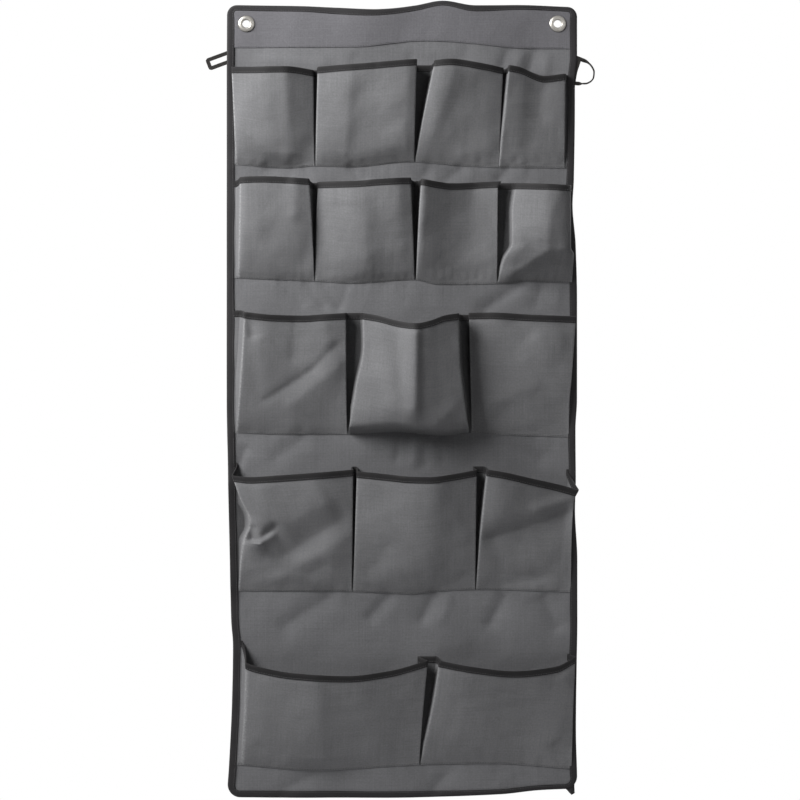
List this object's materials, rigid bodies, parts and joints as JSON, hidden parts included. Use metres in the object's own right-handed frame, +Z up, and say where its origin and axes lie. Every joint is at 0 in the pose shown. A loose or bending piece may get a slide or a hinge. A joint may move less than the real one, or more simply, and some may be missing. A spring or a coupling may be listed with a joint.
{
  "type": "pocket organizer",
  "caption": "Hanging cloth organizer with rows of pleated pockets, tape-bound edges, two top grommets and side loops, folding back on itself in thirds for storage.",
  "frame": {"origin": "on the back of the panel, halfway between the two grommets it hangs from", "axes": "+X to the viewer's right, -Y out of the pocket side, +Z up"},
  "size_m": [0.4862, 0.0645, 0.9939],
  "materials": {
    "panel_cloth": "matt grey woven polyester",
    "pocket_cloth": "matt grey woven polyester",
    "edge_tape": "black ribbed binding tape",
    "mouth_tape": "black ribbed binding tape",
    "loop_tape": "black narrow tape",
    "grommet_metal": "nickel-plated brass, lightly worn"
  },
  "bodies": {
    "upper_section": {"back_panel_upper": "panel_cloth", "header_facing": "panel_cloth", "edge_binding_upper": "edge_tape", "grommet_eyelet_left": "grommet_metal", "grommet_eyelet_right": "grommet_metal", "grommet_washer_left": "grommet_metal", "grommet_washer_right": "grommet_metal", "pocket_strip_1": "pocket_cloth", "mouth_binding_1": "mouth_tape", "pocket_strip_2": "pocket_cloth", "mouth_binding_2": "mouth_tape"},
    "middle_section": {"back_panel_middle": "panel_cloth", "edge_binding_middle_left": "edge_tape", "edge_binding_middle_right": "edge_tape", "pocket_strip_3": "pocket_cloth", "mouth_binding_3": "mouth_tape", "pocket_strip_4": "pocket_cloth", "mouth_binding_4": "mouth_tape"},
    "lower_section": {"back_panel_lower": "panel_cloth", "edge_binding_lower": "edge_tape", "binding_tail": "edge_tape", "pocket_strip_5": "pocket_cloth", "mouth_binding_5": "mouth_tape"},
    "left_side_loop": {"left_loop": "loop_tape"},
    "right_side_loop": {"right_loop": "loop_tape"}
  },
  "joints": [
    {"name": "upper_fold", "type": "hinge", "parent": "upper_section", "child": "middle_section", "pos_m": [0, 0.0014, -0.341], "axis": [1, 0, 0], "range_deg": [0, 165]},
    {"name": "lower_fold", "type": "hinge", "parent": "middle_section", "child": "lower_section", "pos_m": [0, 0.0014, -0.73783], "axis": [1, 0, 0], "range_deg": [0, 172]},
    {"name": "left_loop_swing", "type": "hinge", "parent": "upper_section", "child": "left_side_loop", "pos_m": [-0.2199, -0.0005, -0.0425], "axis": [0, 0, 1], "range_deg": [-90, 90]},
    {"name": "right_loop_swing", "type": "hinge", "parent": "upper_section", "child": "right_side_loop", "pos_m": [0.2199, -0.0005, -0.0575], "axis": [0, 0, 1], "range_deg": [-90, 90]}
  ]
}
